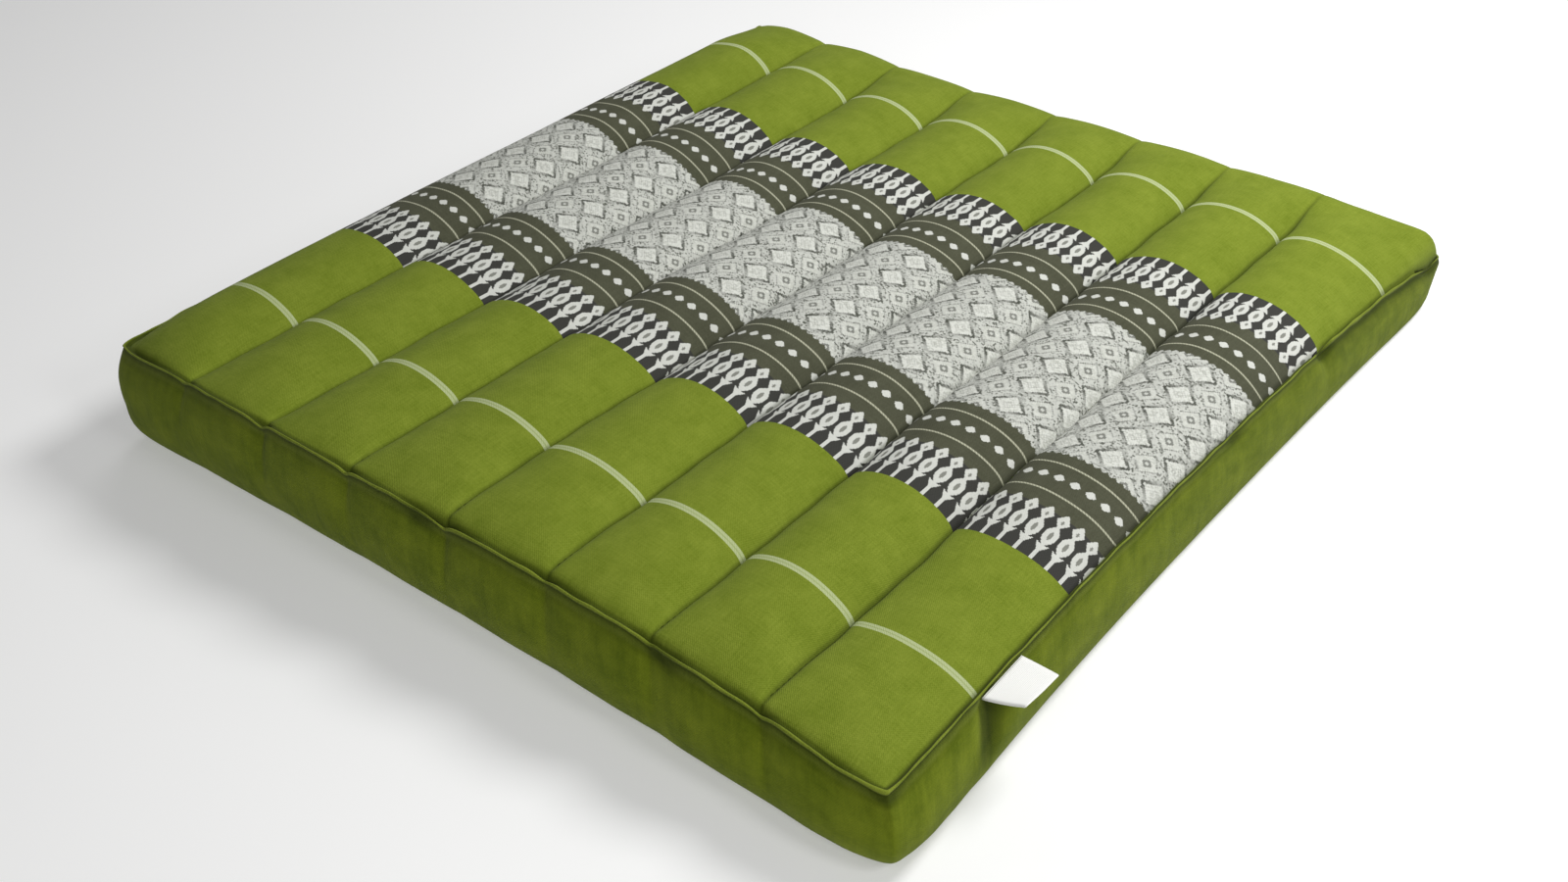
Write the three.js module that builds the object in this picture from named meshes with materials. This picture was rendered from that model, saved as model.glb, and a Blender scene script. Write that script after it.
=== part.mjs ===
// Channel-quilted meditation cushion: a boxed cotton cover sewn into filled channels, with a pinched
// welt around its top edge and a small folded label sewn into one side seam.
// Millimetres, +Z up. The origin is the centre of the base, on the floor. X runs across the channels,
// Y along them, and -Y is the front edge.

import * as THREE from 'three';

const { lerp, smoothstep } = THREE.MathUtils;

// Outline, measured along the line of the welt
const HALF_WIDTH = { left: 241, right: 238.5 };   // origin to welt across the channels, at the corners
const HALF_LENGTH = 251.5;       // origin to welt along the channels, at the corners
const DRAW_IN = { left: 0, right: 4.5, front: 6.5, back: 1.5 };   // at the middle of each side
const BASE_DRAW = 0.7;           // share of that drawing in that reaches the base
const END_SCALLOP = 2;           // each filled channel pushes the end welt out again by this much
const BASE_SCALLOP = 0.3;        // share of that at the base

// Heights of the welt above the floor. The filling is uneven: fullest at the front left, flattest at the
// back right. The two front rows run from the left corner over the seams to the right corner.
const FRONT_WELT = [57.5, 63, 63, 61.5, 57.5, 55, 51, 45, 39.5];
const FRONT_LEAN = [2.5, 8.5, 10.5, 10.5, 8, 5.5, 3.5, 1, 0];   // how far the boxing leans out to that welt
const BACK_WELT = { left: 42, right: 32 };
const RIGHT_RISE = 5;            // the welt bows up by this much at the middle of the +X side

// What sets three of the corners apart, and how close to them that stays
const FRONT_LEFT_PULL = 5;       // pulled in sideways
const BACK_LEFT_LIFT = 5;
const BACK_RIGHT = { drop: 4, acrossReach: 6, alongReach: 3.5, slack: 0.8 };   // low, with slack boxing
const CORNER_SPREAD = 6;

// Above that low welt the last channel is puffed up to a shoulder, with a short roll to the side welt and
// a shortened one to the end welt; it comes in between these shares of the way along the cushion and
// across the channel
const PUFF = { shoulder: 43.5, roll: 9, endRoll: 0.55, along: [0.62, 0.92], across: [0.15, 0.55] };

// Crests of the filled channels from -X to +X, at the front, near, far and back stations along them
const CRESTS = [
  { front: 70.0, near: 69.5, far: 67.5, back: 66.0 },
  { front: 69.0, near: 68.0, far: 65.0, back: 63.0 },
  { front: 68.5, near: 66.5, far: 62.0, back: 59.0 },
  { front: 68.0, near: 67.5, far: 62.5, back: 59.5 },
  { front: 66.0, near: 66.5, far: 60.5, back: 59.5 },
  { front: 62.5, near: 64.0, far: 60.5, back: 59.5 },
  { front: 58.5, near: 61.0, far: 59.0, back: 57.0 },
  { front: 50.0, near: 54.0, far: 55.5, back: 52.0 },
];

// Sewn lines between the channels at the same stations, and how far each strays from an even spacing
const SEAMS = [
  { front: 59.5, near: 58.0, far: 55.0, back: 53.5, shift: 4.0 },
  { front: 58.5, near: 55.0, far: 50.0, back: 49.5, shift: 4.5 },
  { front: 59.5, near: 56.5, far: 50.5, back: 47.5, shift: 2.5 },
  { front: 59.0, near: 53.5, far: 50.5, back: 47.5, shift: 3.5 },
  { front: 55.5, near: 54.5, far: 50.5, back: 47.5, shift: 3.0 },
  { front: 50.5, near: 52.0, far: 49.0, back: 47.5, shift: 0.5 },
  { front: 45.5, near: 48.5, far: 48.0, back: 46.5, shift: -2.5 },
];
const END_STATION = 187;         // the front and back stations lie this far from the middle
const BAND_STATION = 68;         // and the near and far ones this far
const ARCH_POWER = 2.2;          // roundness of a channel's section, 2 for a parabola
const LEFT_ARCH_POWER = { front: 3, back: 5 };      // the outer halves of the end channels are fuller
const RIGHT_ARCH_POWER = 2.8;

// Towards the end welts the channels flatten out by a share over a length, then their sewn lines and
// crests roll over to the welt; a power of 2 makes that a quarter ellipse
const FRONT_END = { flat: 0.3, length: 62, seamRoll: 18, crestRoll: 42, power: 2 };
const BACK_END = { flat: 1, length: 64, seamRoll: 20, crestRoll: 20, power: 2.2 };
const FLAT_LEVEL = 0.55;         // share of a channel's height that it flattens to
const FIRST_SEAM_LEVEL = 0.22;   // the first sewn line stays deeper than the others
const BASE_GROOVE = 4;           // depth of the sewn lines in the underside
const BASE_GROOVE_FADE = 12;     // power that fades those lines out before the base's edge

// Section of the welt and the boxing, from the top down. out is measured from the line of the welt, the
// height is a share of the welt's own height plus a lift, and corner is how far the cushion's four
// corners are rounded off at that level.
const TOP_LEVEL = { out: -2.2, share: 1, corner: 2 };   // the top panel's stitch line, inside the welt
const TOP_DROP = 1.3;            // and a little below it
const WELT_LEVEL = { out: 0, share: 1, corner: 0 };
const BASE_LEVEL = { out: -2, share: 0, corner: 7 };    // the base touches the floor inside this line
const SIDE_PROFILE = [
  { out: -0.9, share: 1, lift: 0.8, corner: 2 },        // inner shoulder of the pinched welt
  { out: 0.6, share: 1, lift: 0.6, corner: 2 },         // its tip
  { out: 0.5, share: 1, lift: -0.9, corner: 2 },
  { out: 0, share: 1, lift: -1.9, corner: 2 },          // stitch line where the boxing starts
  { out: 4.2, share: 0.865, lift: 0, corner: 2.7 },
  { out: 8.4, share: 0.68, lift: 0, corner: 3.7 },
  { out: 10.5, share: 0.48, lift: 0, corner: 4.6 },     // fullest part of the boxing
  { out: 10.5, share: 0.32, lift: 0, corner: 5.4 },
  { out: 8.2, share: 0.15, lift: 0, corner: 6.3 },
  { out: 4.2, share: 0.04, lift: 0, corner: 7 },
];

// Share of that rounding at each corner: at the base, below and above the middle, and at the welt
const CORNER_LEVELS = [0, 0.4, 0.85, 1];
const CORNER_SHARES = {
  frontLeft: [0.1, 1.2, 1, 0.5],
  frontRight: [1.1, 1.2, 1.2, 0.5],
  backLeft: [0.9, 1, 1, 1],
  backRight: [1.25, 1.8, 1.7, 2.4],
};
const CORNER_POWER = 24;         // keeps that rounding to the last few centimetres of the sides
const CORNER_TURN = 0.36;        // but a larger one starts further back, so that the corner stays convex
const RIGHT_BULGE = { front: 1.15, back: 0.35 };     // how full the boxing is on the +X side

// Steps of the surface grid: fractions across a channel, and distances from an end along it
const CHANNEL_STEPS = [0, 0.12, 0.31, 0.5, 0.69, 0.88];
const END_STEPS = [0, 5, 12, 22, 34, 58, 95, 140, 190];

// Folded label, sewn in under the welt of the +X side
const LABEL_MIDDLE_Y = -174;
const LABEL_WIDTH = 29;          // along the seam
const LABEL_START = 0.7;         // where it comes out of the seam, from the line of the welt
const LABEL_REACH = 17;
const LABEL_DROP = 1.6;          // its middle lies this far below the welt at the seam
const LABEL_DROOP = 0.9;
const LABEL_CURL = -3.2;         // its front corner lifts
const LABEL_SLANT = 4;           // and its front edge isn't square to the seam
const LABEL_THICKNESS = 1.1;
const LABEL_STEPS = { along: 6, out: 6 };

// Height given at the four stations, at b from -1 at the front welt to 1 at the back welt
function atStation({ front, near, far, back }, b) {
  const y = b * HALF_LENGTH;
  return front
    + (near - front) * smoothstep(y, -END_STATION, -BAND_STATION)
    + (far - near) * smoothstep(y, -BAND_STATION, BAND_STATION)
    + (back - far) * smoothstep(y, BAND_STATION, END_STATION);
}

// Value read between two entries of a row
function between(row, place) {
  const first = Math.min(Math.floor(place), row.length - 2);
  return lerp(row[first], row[first + 1], place - first);
}

// Value of one of the front rows at a across the channels
function alongFront(row, a) {
  return between(row, (a + 1) / 2 * CRESTS.length);
}

// How close a point is to a corner, the signs telling which one
function nearCorner(a, b, signA, signB) {
  return (Math.max(a * signA, 0) * Math.max(b * signB, 0)) ** CORNER_SPREAD;
}

// Height of the welt, blended from front to back, at a across and b along the channels
function weltHeight(a, b) {
  const front = alongFront(FRONT_WELT, a);
  const back = lerp(BACK_WELT.left, BACK_WELT.right, (a + 1) / 2);
  const even = lerp(front, back, (b + 1) / 2) + RIGHT_RISE * (1 - b * b) * (a + 1) / 2;
  return even + BACK_LEFT_LIFT * nearCorner(a, b, -1, 1) - BACK_RIGHT.drop * nearCorner(a, b, 1, 1);
}

// Height of the sewn line on the +X side of a channel; the outermost lines are the welt's own
function seamHeight(channel, b) {
  const seam = SEAMS[channel];
  const outer = channel < 0 ? -1 : 1;
  return seam ? atStation(seam, b) : weltHeight(outer, b) - TOP_DROP;
}

// Distance of that line from the middle; where it is the welt's it moves in by the side's drawing in
function seamPlace(channel, b, draw) {
  const even = lerp(-HALF_WIDTH.left, HALF_WIDTH.right, (channel + 1) / CRESTS.length);
  if (SEAMS[channel]) {
    return even + SEAMS[channel].shift;
  }
  const drawn = draw * (1 - b * b);
  if (channel < 0) {
    return even + DRAW_IN.left * drawn + FRONT_LEFT_PULL * nearCorner(-1, b, -1, -1);
  }
  return even - DRAW_IN.right * drawn + BACK_RIGHT.acrossReach * nearCorner(1, b, 1, 1);
}

function isOuterHalf({ channel, t }) {
  return (channel === 0 && t < 0.5) || (channel === CRESTS.length - 1 && t > 0.5);
}

// Arch of a filled channel, 0 on its sewn lines and 1 on its crest
function arch(column, b) {
  const { channel, t } = column;
  const leftPower = lerp(LEFT_ARCH_POWER.front, LEFT_ARCH_POWER.back, (b + 1) / 2);
  const outerPower = channel === 0 ? leftPower : RIGHT_ARCH_POWER;
  return 1 - Math.abs(2 * t - 1) ** (isOuterHalf(column) ? outerPower : ARCH_POWER);
}

// How far a corner is rounded at a level
function cornerRounding(a, b, { share, corner }) {
  const end = b < 0 ? 'front' : 'back';
  const shares = CORNER_SHARES[end + (a < 0 ? 'Left' : 'Right')];
  const upper = Math.max(CORNER_LEVELS.findIndex((level) => level >= share), 1);
  const gap = CORNER_LEVELS[upper] - CORNER_LEVELS[upper - 1];
  const place = upper - 1 + (share - CORNER_LEVELS[upper - 1]) / gap;
  const size = corner * between(shares, place);
  const power = Math.min(CORNER_POWER, CORNER_TURN * HALF_LENGTH / size);
  return size * Math.abs(a * b) ** power;
}

// Point of the plan at a column, at b from -1 to 1 along the channels and at a level: the outline moved
// out by a distance, its height as a share of the welt's, and the rounding of its corners
function plan(column, b, level) {
  const { channel, t, a } = column;
  const { share } = level;
  const firmness = 1 - BACK_RIGHT.slack * nearCorner(a, b, 1, 1);
  const out = level.out > 0 ? level.out * firmness : level.out;
  const rounding = cornerRounding(a, b, level);
  const rightBulge = lerp(RIGHT_BULGE.back, RIGHT_BULGE.front, Math.max(-b, 0) ** 2);
  const sideOut = a > 0 && out > 0 ? rightBulge * out : out;
  const draw = lerp(BASE_DRAW, 1, share);
  const endDraw = (b < 0 ? DRAW_IN.front : DRAW_IN.back) * draw * (1 - a * a);
  const backReach = BACK_RIGHT.alongReach * Math.max(a, 0) ** CORNER_SPREAD;
  const lean = b < 0 ? alongFront(FRONT_LEAN, a) * share ** 2 : backReach;
  const scallop = END_SCALLOP * lerp(BASE_SCALLOP, 1, share) * arch(column, 0);
  const end = HALF_LENGTH - endDraw + lean + scallop + out - rounding;
  const across = lerp(seamPlace(channel - 1, b, draw), seamPlace(channel, b, draw), t);
  return { x: across + a * (sideOut - rounding), y: b * end };
}

// Height of a channel's crest above its two sewn lines
function crown(channel, b) {
  return atStation(CRESTS[channel], b) - (seamHeight(channel - 1, b) + seamHeight(channel, b)) / 2;
}

// Height above the sewn lines that a flattened channel keeps
function flatLift(column, b) {
  const { channel, t } = column;
  const own = FLAT_LEVEL * crown(channel, b);
  if (isOuterHalf(column)) {
    return own * arch(column, b);
  }
  const neighbour = t < 0.5 ? channel - 1 : channel + 1;
  const level = Math.min(channel, neighbour) === 0 ? FIRST_SEAM_LEVEL : FLAT_LEVEL;
  const onSeam = neighbour in CRESTS ? level * (crown(channel, b) + crown(neighbour, b)) / 2 : own;
  return lerp(own, onSeam, Math.abs(2 * t - 1));
}

// Share of the puffing up that a point of the top gets
function puffShare({ channel, t }, b) {
  const isLast = channel === CRESTS.length - 1;
  return isLast ? smoothstep(b, ...PUFF.along) * smoothstep(t, ...PUFF.across) : 0;
}

// How far the back right corner is puffed up above a height
function puff(column, b, height) {
  const { channel, t } = column;
  const left = seamHeight(channel - 1, b);
  const right = seamHeight(channel, b);
  const fromWelt = (1 - t) * (HALF_WIDTH.left + HALF_WIDTH.right) / CRESTS.length;
  const short = 1 - Math.min(fromWelt / PUFF.roll, 1);
  const puffed = right + (lerp(left, PUFF.shoulder, t) - right) * Math.sqrt(1 - short * short);
  return puffShare(column, b) * Math.max(puffed - height, 0);
}

function topHeight(column, b) {
  const end = b < 0 ? FRONT_END : BACK_END;
  const fromEnd = (1 - Math.abs(b)) * HALF_LENGTH;
  const round = arch(column, b);
  const sewn = lerp(seamHeight(column.channel - 1, b), seamHeight(column.channel, b), column.t);
  const flat = end.flat * smoothstep(end.length - fromEnd, 0, end.length);
  const lifted = sewn + lerp(crown(column.channel, b) * round, flatLift(column, b), flat);
  const full = lifted + puff(column, b, lifted);
  const roll = lerp(end.seamRoll, end.crestRoll, round) * lerp(1, PUFF.endRoll, puffShare(column, b));
  const rolled = Math.min(fromEnd / roll, 1);
  const foot = weltHeight(column.a, b) - TOP_DROP;
  return foot + (full - foot) * (1 - (1 - rolled) ** end.power) ** (1 / end.power);
}

// The underside lies flat on the floor between its sewn lines
function baseHeight(column, b) {
  const sewn = column.t === 0 && Math.abs(column.a) < 1;
  return sewn ? BASE_GROOVE * (1 - Math.abs(b) ** BASE_GROOVE_FADE) : 0;
}

function gridColumns() {
  const columns = CRESTS.flatMap((_, channel) => CHANNEL_STEPS.map((t) => {
    return { channel, t, a: 2 * (channel + t) / CRESTS.length - 1 };
  }));
  columns.push({ channel: CRESTS.length - 1, t: 1, a: 1 });
  return columns;
}

function gridRows() {
  const front = END_STEPS.map((distance) => distance / HALF_LENGTH - 1);
  const back = front.map((b) => -b).reverse();
  return [...front, 0, ...back];
}

// Grid places around the edge, anticlockwise seen from above
function gridEdge(columnCount, rowCount) {
  const lastColumn = columnCount - 1;
  const lastRow = rowCount - 1;
  const edge = [];
  for (let i = 0; i < lastColumn; i += 1) {
    edge.push([i, 0]);
  }
  for (let j = 0; j < lastRow; j += 1) {
    edge.push([lastColumn, j]);
  }
  for (let i = lastColumn; i > 0; i -= 1) {
    edge.push([i, lastRow]);
  }
  for (let j = lastRow; j > 0; j -= 1) {
    edge.push([0, j]);
  }
  return edge;
}

// Collects the points and triangles of one closed surface
class Surface {
  points = [];
  triangles = [];

  point(x, y, z) {
    this.points.push(x, y, z);
    return this.points.length / 3 - 1;
  }

  // Corners run anticlockwise seen from outside
  quad(a, b, c, d) {
    this.triangles.push(a, b, c, a, c, d);
  }

  geometry() {
    const geometry = new THREE.BufferGeometry();
    geometry.setAttribute('position', new THREE.Float32BufferAttribute(this.points, 3));
    geometry.setIndex(this.triangles);
    geometry.computeVertexNormals();
    return geometry;
  }
}

// Adds a grid of quads from rows of point numbers, facing up or down
function addGrid(surface, rows, facesUp) {
  for (let j = 0; j + 1 < rows.length; j += 1) {
    for (let i = 0; i + 1 < rows[j].length; i += 1) {
      const corners = [rows[j][i], rows[j][i + 1], rows[j + 1][i + 1], rows[j + 1][i]];
      surface.quad(...(facesUp ? corners : corners.reverse()));
    }
  }
}

// Adds the band between two closed rings of point numbers, the upper one first
function addBand(surface, upper, lower) {
  upper.forEach((_, k) => {
    const next = (k + 1) % upper.length;
    surface.quad(upper[k], lower[k], lower[next], upper[next]);
  });
}

function cushionGeometry() {
  const surface = new Surface();
  const columns = gridColumns();
  const rows = gridRows();

  const panel = (level, height) => rows.map((b) => columns.map((column) => {
    const { x, y } = plan(column, b, level);
    return surface.point(x, y, height(column, b));
  }));
  const top = panel(TOP_LEVEL, topHeight);
  const base = panel(BASE_LEVEL, baseHeight);
  addGrid(surface, top, true);
  addGrid(surface, base, false);

  const edge = gridEdge(columns.length, rows.length);
  const rings = SIDE_PROFILE.map((level) => edge.map(([i, j]) => {
    const { x, y } = plan(columns[i], rows[j], level);
    return surface.point(x, y, level.share * weltHeight(columns[i].a, rows[j]) + level.lift);
  }));
  const ringOf = (grid) => edge.map(([i, j]) => grid[j][i]);
  const bands = [ringOf(top), ...rings, ringOf(base)];
  for (let k = 0; k + 1 < bands.length; k += 1) {
    addBand(surface, bands[k], bands[k + 1]);
  }
  return surface.geometry();
}

// A thin closed sheet that follows the side's welt and droops as it leaves the seam
function labelGeometry() {
  const surface = new Surface();
  const sideColumn = { channel: CRESTS.length - 1, t: 1, a: 1 };
  const { along, out } = LABEL_STEPS;

  const layer = (offset) => Array.from({ length: along + 1 }, (_, j) => {
    const y = LABEL_MIDDLE_Y + LABEL_WIDTH * (j / along - 0.5);
    const welt = plan(sideColumn, y / HALF_LENGTH, WELT_LEVEL).x;
    const height = weltHeight(1, y / HALF_LENGTH) - LABEL_DROP;
    return Array.from({ length: out + 1 }, (__, i) => {
      const share = i / out;
      const droop = LABEL_DROOP * share ** 2 + LABEL_CURL * share ** 2 * (1 - j / along);
      const slant = LABEL_SLANT * share * (1 - j / along);
      return surface.point(welt + LABEL_START + LABEL_REACH * share, y + slant, height - droop + offset);
    });
  });
  const upper = layer(LABEL_THICKNESS / 2);
  const lower = layer(-LABEL_THICKNESS / 2);
  addGrid(surface, upper, true);
  addGrid(surface, lower, false);

  const edge = gridEdge(out + 1, along + 1);
  const ringOf = (grid) => edge.map(([i, j]) => grid[j][i]);
  addBand(surface, ringOf(upper), ringOf(lower));
  return surface.geometry();
}

function namedMesh(name, geometry, material) {
  const mesh = new THREE.Mesh(geometry, material);
  mesh.name = name;
  return mesh;
}

const coverCloth = new THREE.MeshStandardMaterial({ color: 0x7d8f2c, roughness: 0.9, metalness: 0 });
const labelCloth = new THREE.MeshStandardMaterial({ color: 0xe9e9e4, roughness: 0.8, metalness: 0 });

const cushion = new THREE.Group();
cushion.add(namedMesh('cushion', cushionGeometry(), coverCloth));
cushion.add(namedMesh('label', labelGeometry(), labelCloth));

export default cushion;
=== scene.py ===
import math

import bpy
import numpy as np
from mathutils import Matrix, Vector, noise


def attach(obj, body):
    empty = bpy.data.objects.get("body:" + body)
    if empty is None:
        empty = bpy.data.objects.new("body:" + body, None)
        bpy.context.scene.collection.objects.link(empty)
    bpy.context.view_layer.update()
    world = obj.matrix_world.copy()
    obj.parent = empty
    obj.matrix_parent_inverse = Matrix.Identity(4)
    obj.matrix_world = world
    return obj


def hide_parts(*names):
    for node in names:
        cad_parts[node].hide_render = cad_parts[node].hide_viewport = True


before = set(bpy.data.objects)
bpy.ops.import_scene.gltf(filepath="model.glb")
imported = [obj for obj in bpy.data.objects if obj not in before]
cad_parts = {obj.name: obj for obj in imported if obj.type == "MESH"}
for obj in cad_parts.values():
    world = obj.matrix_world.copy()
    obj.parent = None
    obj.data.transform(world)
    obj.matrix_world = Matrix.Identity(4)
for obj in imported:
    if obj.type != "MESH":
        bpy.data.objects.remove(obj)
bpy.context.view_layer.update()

# Channel-quilted floor cushion: a boxed cotton cover sewn into eight filled channels, with a pinched
# welt round the top, a woven middle field and a bare folded label in the right-hand seam.
# Sizes below are in millimetres; x runs across the channels, y along them, and -y is the front.
mm = 0.001


# Camera, lights and floor

studio = {
    "cameraAt": (504.15, -607.25, 526.64),
    "cameraTurn": (53.811, 2.323, 39.104),   # degrees
    "lens": 40.517,
    "sensor": 36.0,
    "floorHalf": 6.0,                        # metres
    "floorColour": (0.70, 0.70, 0.695, 1),
    "floorGlow": 0.28,                       # the floor is a lit white table
    "floorRough": 0.8,
    "floorGloss": 0.2,
    "skyColour": (1.0, 1.0, 1.0, 1),
    "skyStrength": 0.1,
    # name, place in metres, aimed at, size in metres, watts
    "lamps": [
        ("keyLamp", (0.42, 0.55, 0.9), (0.1, 0.1, 0.03), 0.45, 10.8),
        ("rightLamp", (0.95, -0.22, 0.75), (0.1, 0, 0.03), 0.3, 2.6),
        ("frontLamp", (0.55, -0.75, 0.7), (0.1, -0.1, 0.03), 0.5, 2.1),
        ("lowLamp", (0.5, -1.0, 0.3), (0, 0, 0.03), 0.6, 0.3),
        ("backLamp", (-0.7, 0.6, 0.8), (0, 0, 0.03), 0.6, 2.1),
    ],
}


def aimed(place, target):
    return (Vector(target) - Vector(place)).to_track_quat("-Z", "Y").to_euler()


def makeStudio():
    scene = bpy.context.scene
    scene.view_settings.view_transform = "Standard"

    cameraData = bpy.data.cameras.new("camera")
    cameraData.lens = studio["lens"]
    cameraData.sensor_width = studio["sensor"]
    cameraData.clip_start = 0.01
    camera = bpy.data.objects.new("camera", cameraData)
    camera.location = Vector(studio["cameraAt"]) * mm
    camera.rotation_euler = [math.radians(angle) for angle in studio["cameraTurn"]]
    scene.collection.objects.link(camera)
    scene.camera = camera

    world = bpy.data.worlds.new("softSky")
    world.use_nodes = True
    background = world.node_tree.nodes["Background"]
    background.inputs["Color"].default_value = studio["skyColour"]
    background.inputs["Strength"].default_value = studio["skyStrength"]
    scene.world = world

    for name, place, target, size, watts in studio["lamps"]:
        lampData = bpy.data.lights.new(name, "AREA")
        lampData.shape = "DISK"
        lampData.size = size
        lampData.energy = watts
        lamp = bpy.data.objects.new(name, lampData)
        lamp.location = place
        lamp.rotation_euler = aimed(place, target)
        scene.collection.objects.link(lamp)

    half = studio["floorHalf"]
    floorMesh = bpy.data.meshes.new("floor")
    corners = [(-half, -half, 0), (half, -half, 0), (half, half, 0), (-half, half, 0)]
    floorMesh.from_pydata(corners, [], [(0, 1, 2, 3)])
    floor = bpy.data.objects.new("floor", floorMesh)
    floor.data.materials.append(floorPaint())
    scene.collection.objects.link(floor)
    print("studio ready")


# Small helpers for shader nodes: a value is either a number, a colour or another node's socket

def feed(tree, socket, value):
    if isinstance(value, bpy.types.NodeSocket):
        tree.links.new(value, socket)
    else:
        socket.default_value = value


def calc(tree, operation, *values):
    node = tree.nodes.new("ShaderNodeMath")
    node.operation = operation
    for socket, value in zip(node.inputs, values):
        feed(tree, socket, value)
    return node.outputs[0]


def layer(tree, under, over, share):
    node = tree.nodes.new("ShaderNodeMix")
    node.data_type = "RGBA"
    feed(tree, node.inputs["Factor"], share)
    feed(tree, node.inputs["A"], under)
    feed(tree, node.inputs["B"], over)
    return node.outputs["Result"]


def within(tree, value, low, high):
    above = calc(tree, "GREATER_THAN", value, low)
    return calc(tree, "MULTIPLY", above, calc(tree, "LESS_THAN", value, high))


def both(tree, first, second):
    return calc(tree, "MULTIPLY", first, second)


def either(tree, first, second):
    return calc(tree, "MAXIMUM", first, second)


def spread(tree, value, low, high, newLow, newHigh):
    node = tree.nodes.new("ShaderNodeMapRange")
    for socket, number in zip(node.inputs, (value, low, high, newLow, newHigh)):
        feed(tree, socket, number)
    return node.outputs[0]


def grain(tree, vector, size, detail=2.0, rough=0.5):
    node = tree.nodes.new("ShaderNodeTexNoise")
    feed(tree, node.inputs["Vector"], vector)
    node.inputs["Scale"].default_value = size
    node.inputs["Detail"].default_value = detail
    node.inputs["Roughness"].default_value = rough
    return node.outputs["Fac"]


def joined(tree, x, y, z):
    node = tree.nodes.new("ShaderNodeCombineXYZ")
    for socket, value in zip(node.inputs, (x, y, z)):
        feed(tree, socket, value)
    return node.outputs[0]


def newMaterial(name):
    material = bpy.data.materials.new(name)
    material.use_nodes = True
    tree = material.node_tree
    return material, tree, tree.nodes["Principled BSDF"]


def floorPaint():
    material, _, shader = newMaterial("floorPaint")
    shader.inputs["Base Color"].default_value = studio["floorColour"]
    shader.inputs["Emission Color"].default_value = studio["skyColour"]
    shader.inputs["Emission Strength"].default_value = studio["floorGlow"]
    material.cycles.emission_sampling = "NONE"
    shader.inputs["Roughness"].default_value = studio["floorRough"]
    shader.inputs["Specular IOR Level"].default_value = studio["floorGloss"]
    return material


# The filled pad. Each crest row is a channel's height at the front, near, far and back stations along
# it; a seam row is the sewn line on its right, with how far that line strays from an even spacing.
# The filling is fullest at the front left and flattest at the back right.

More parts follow.
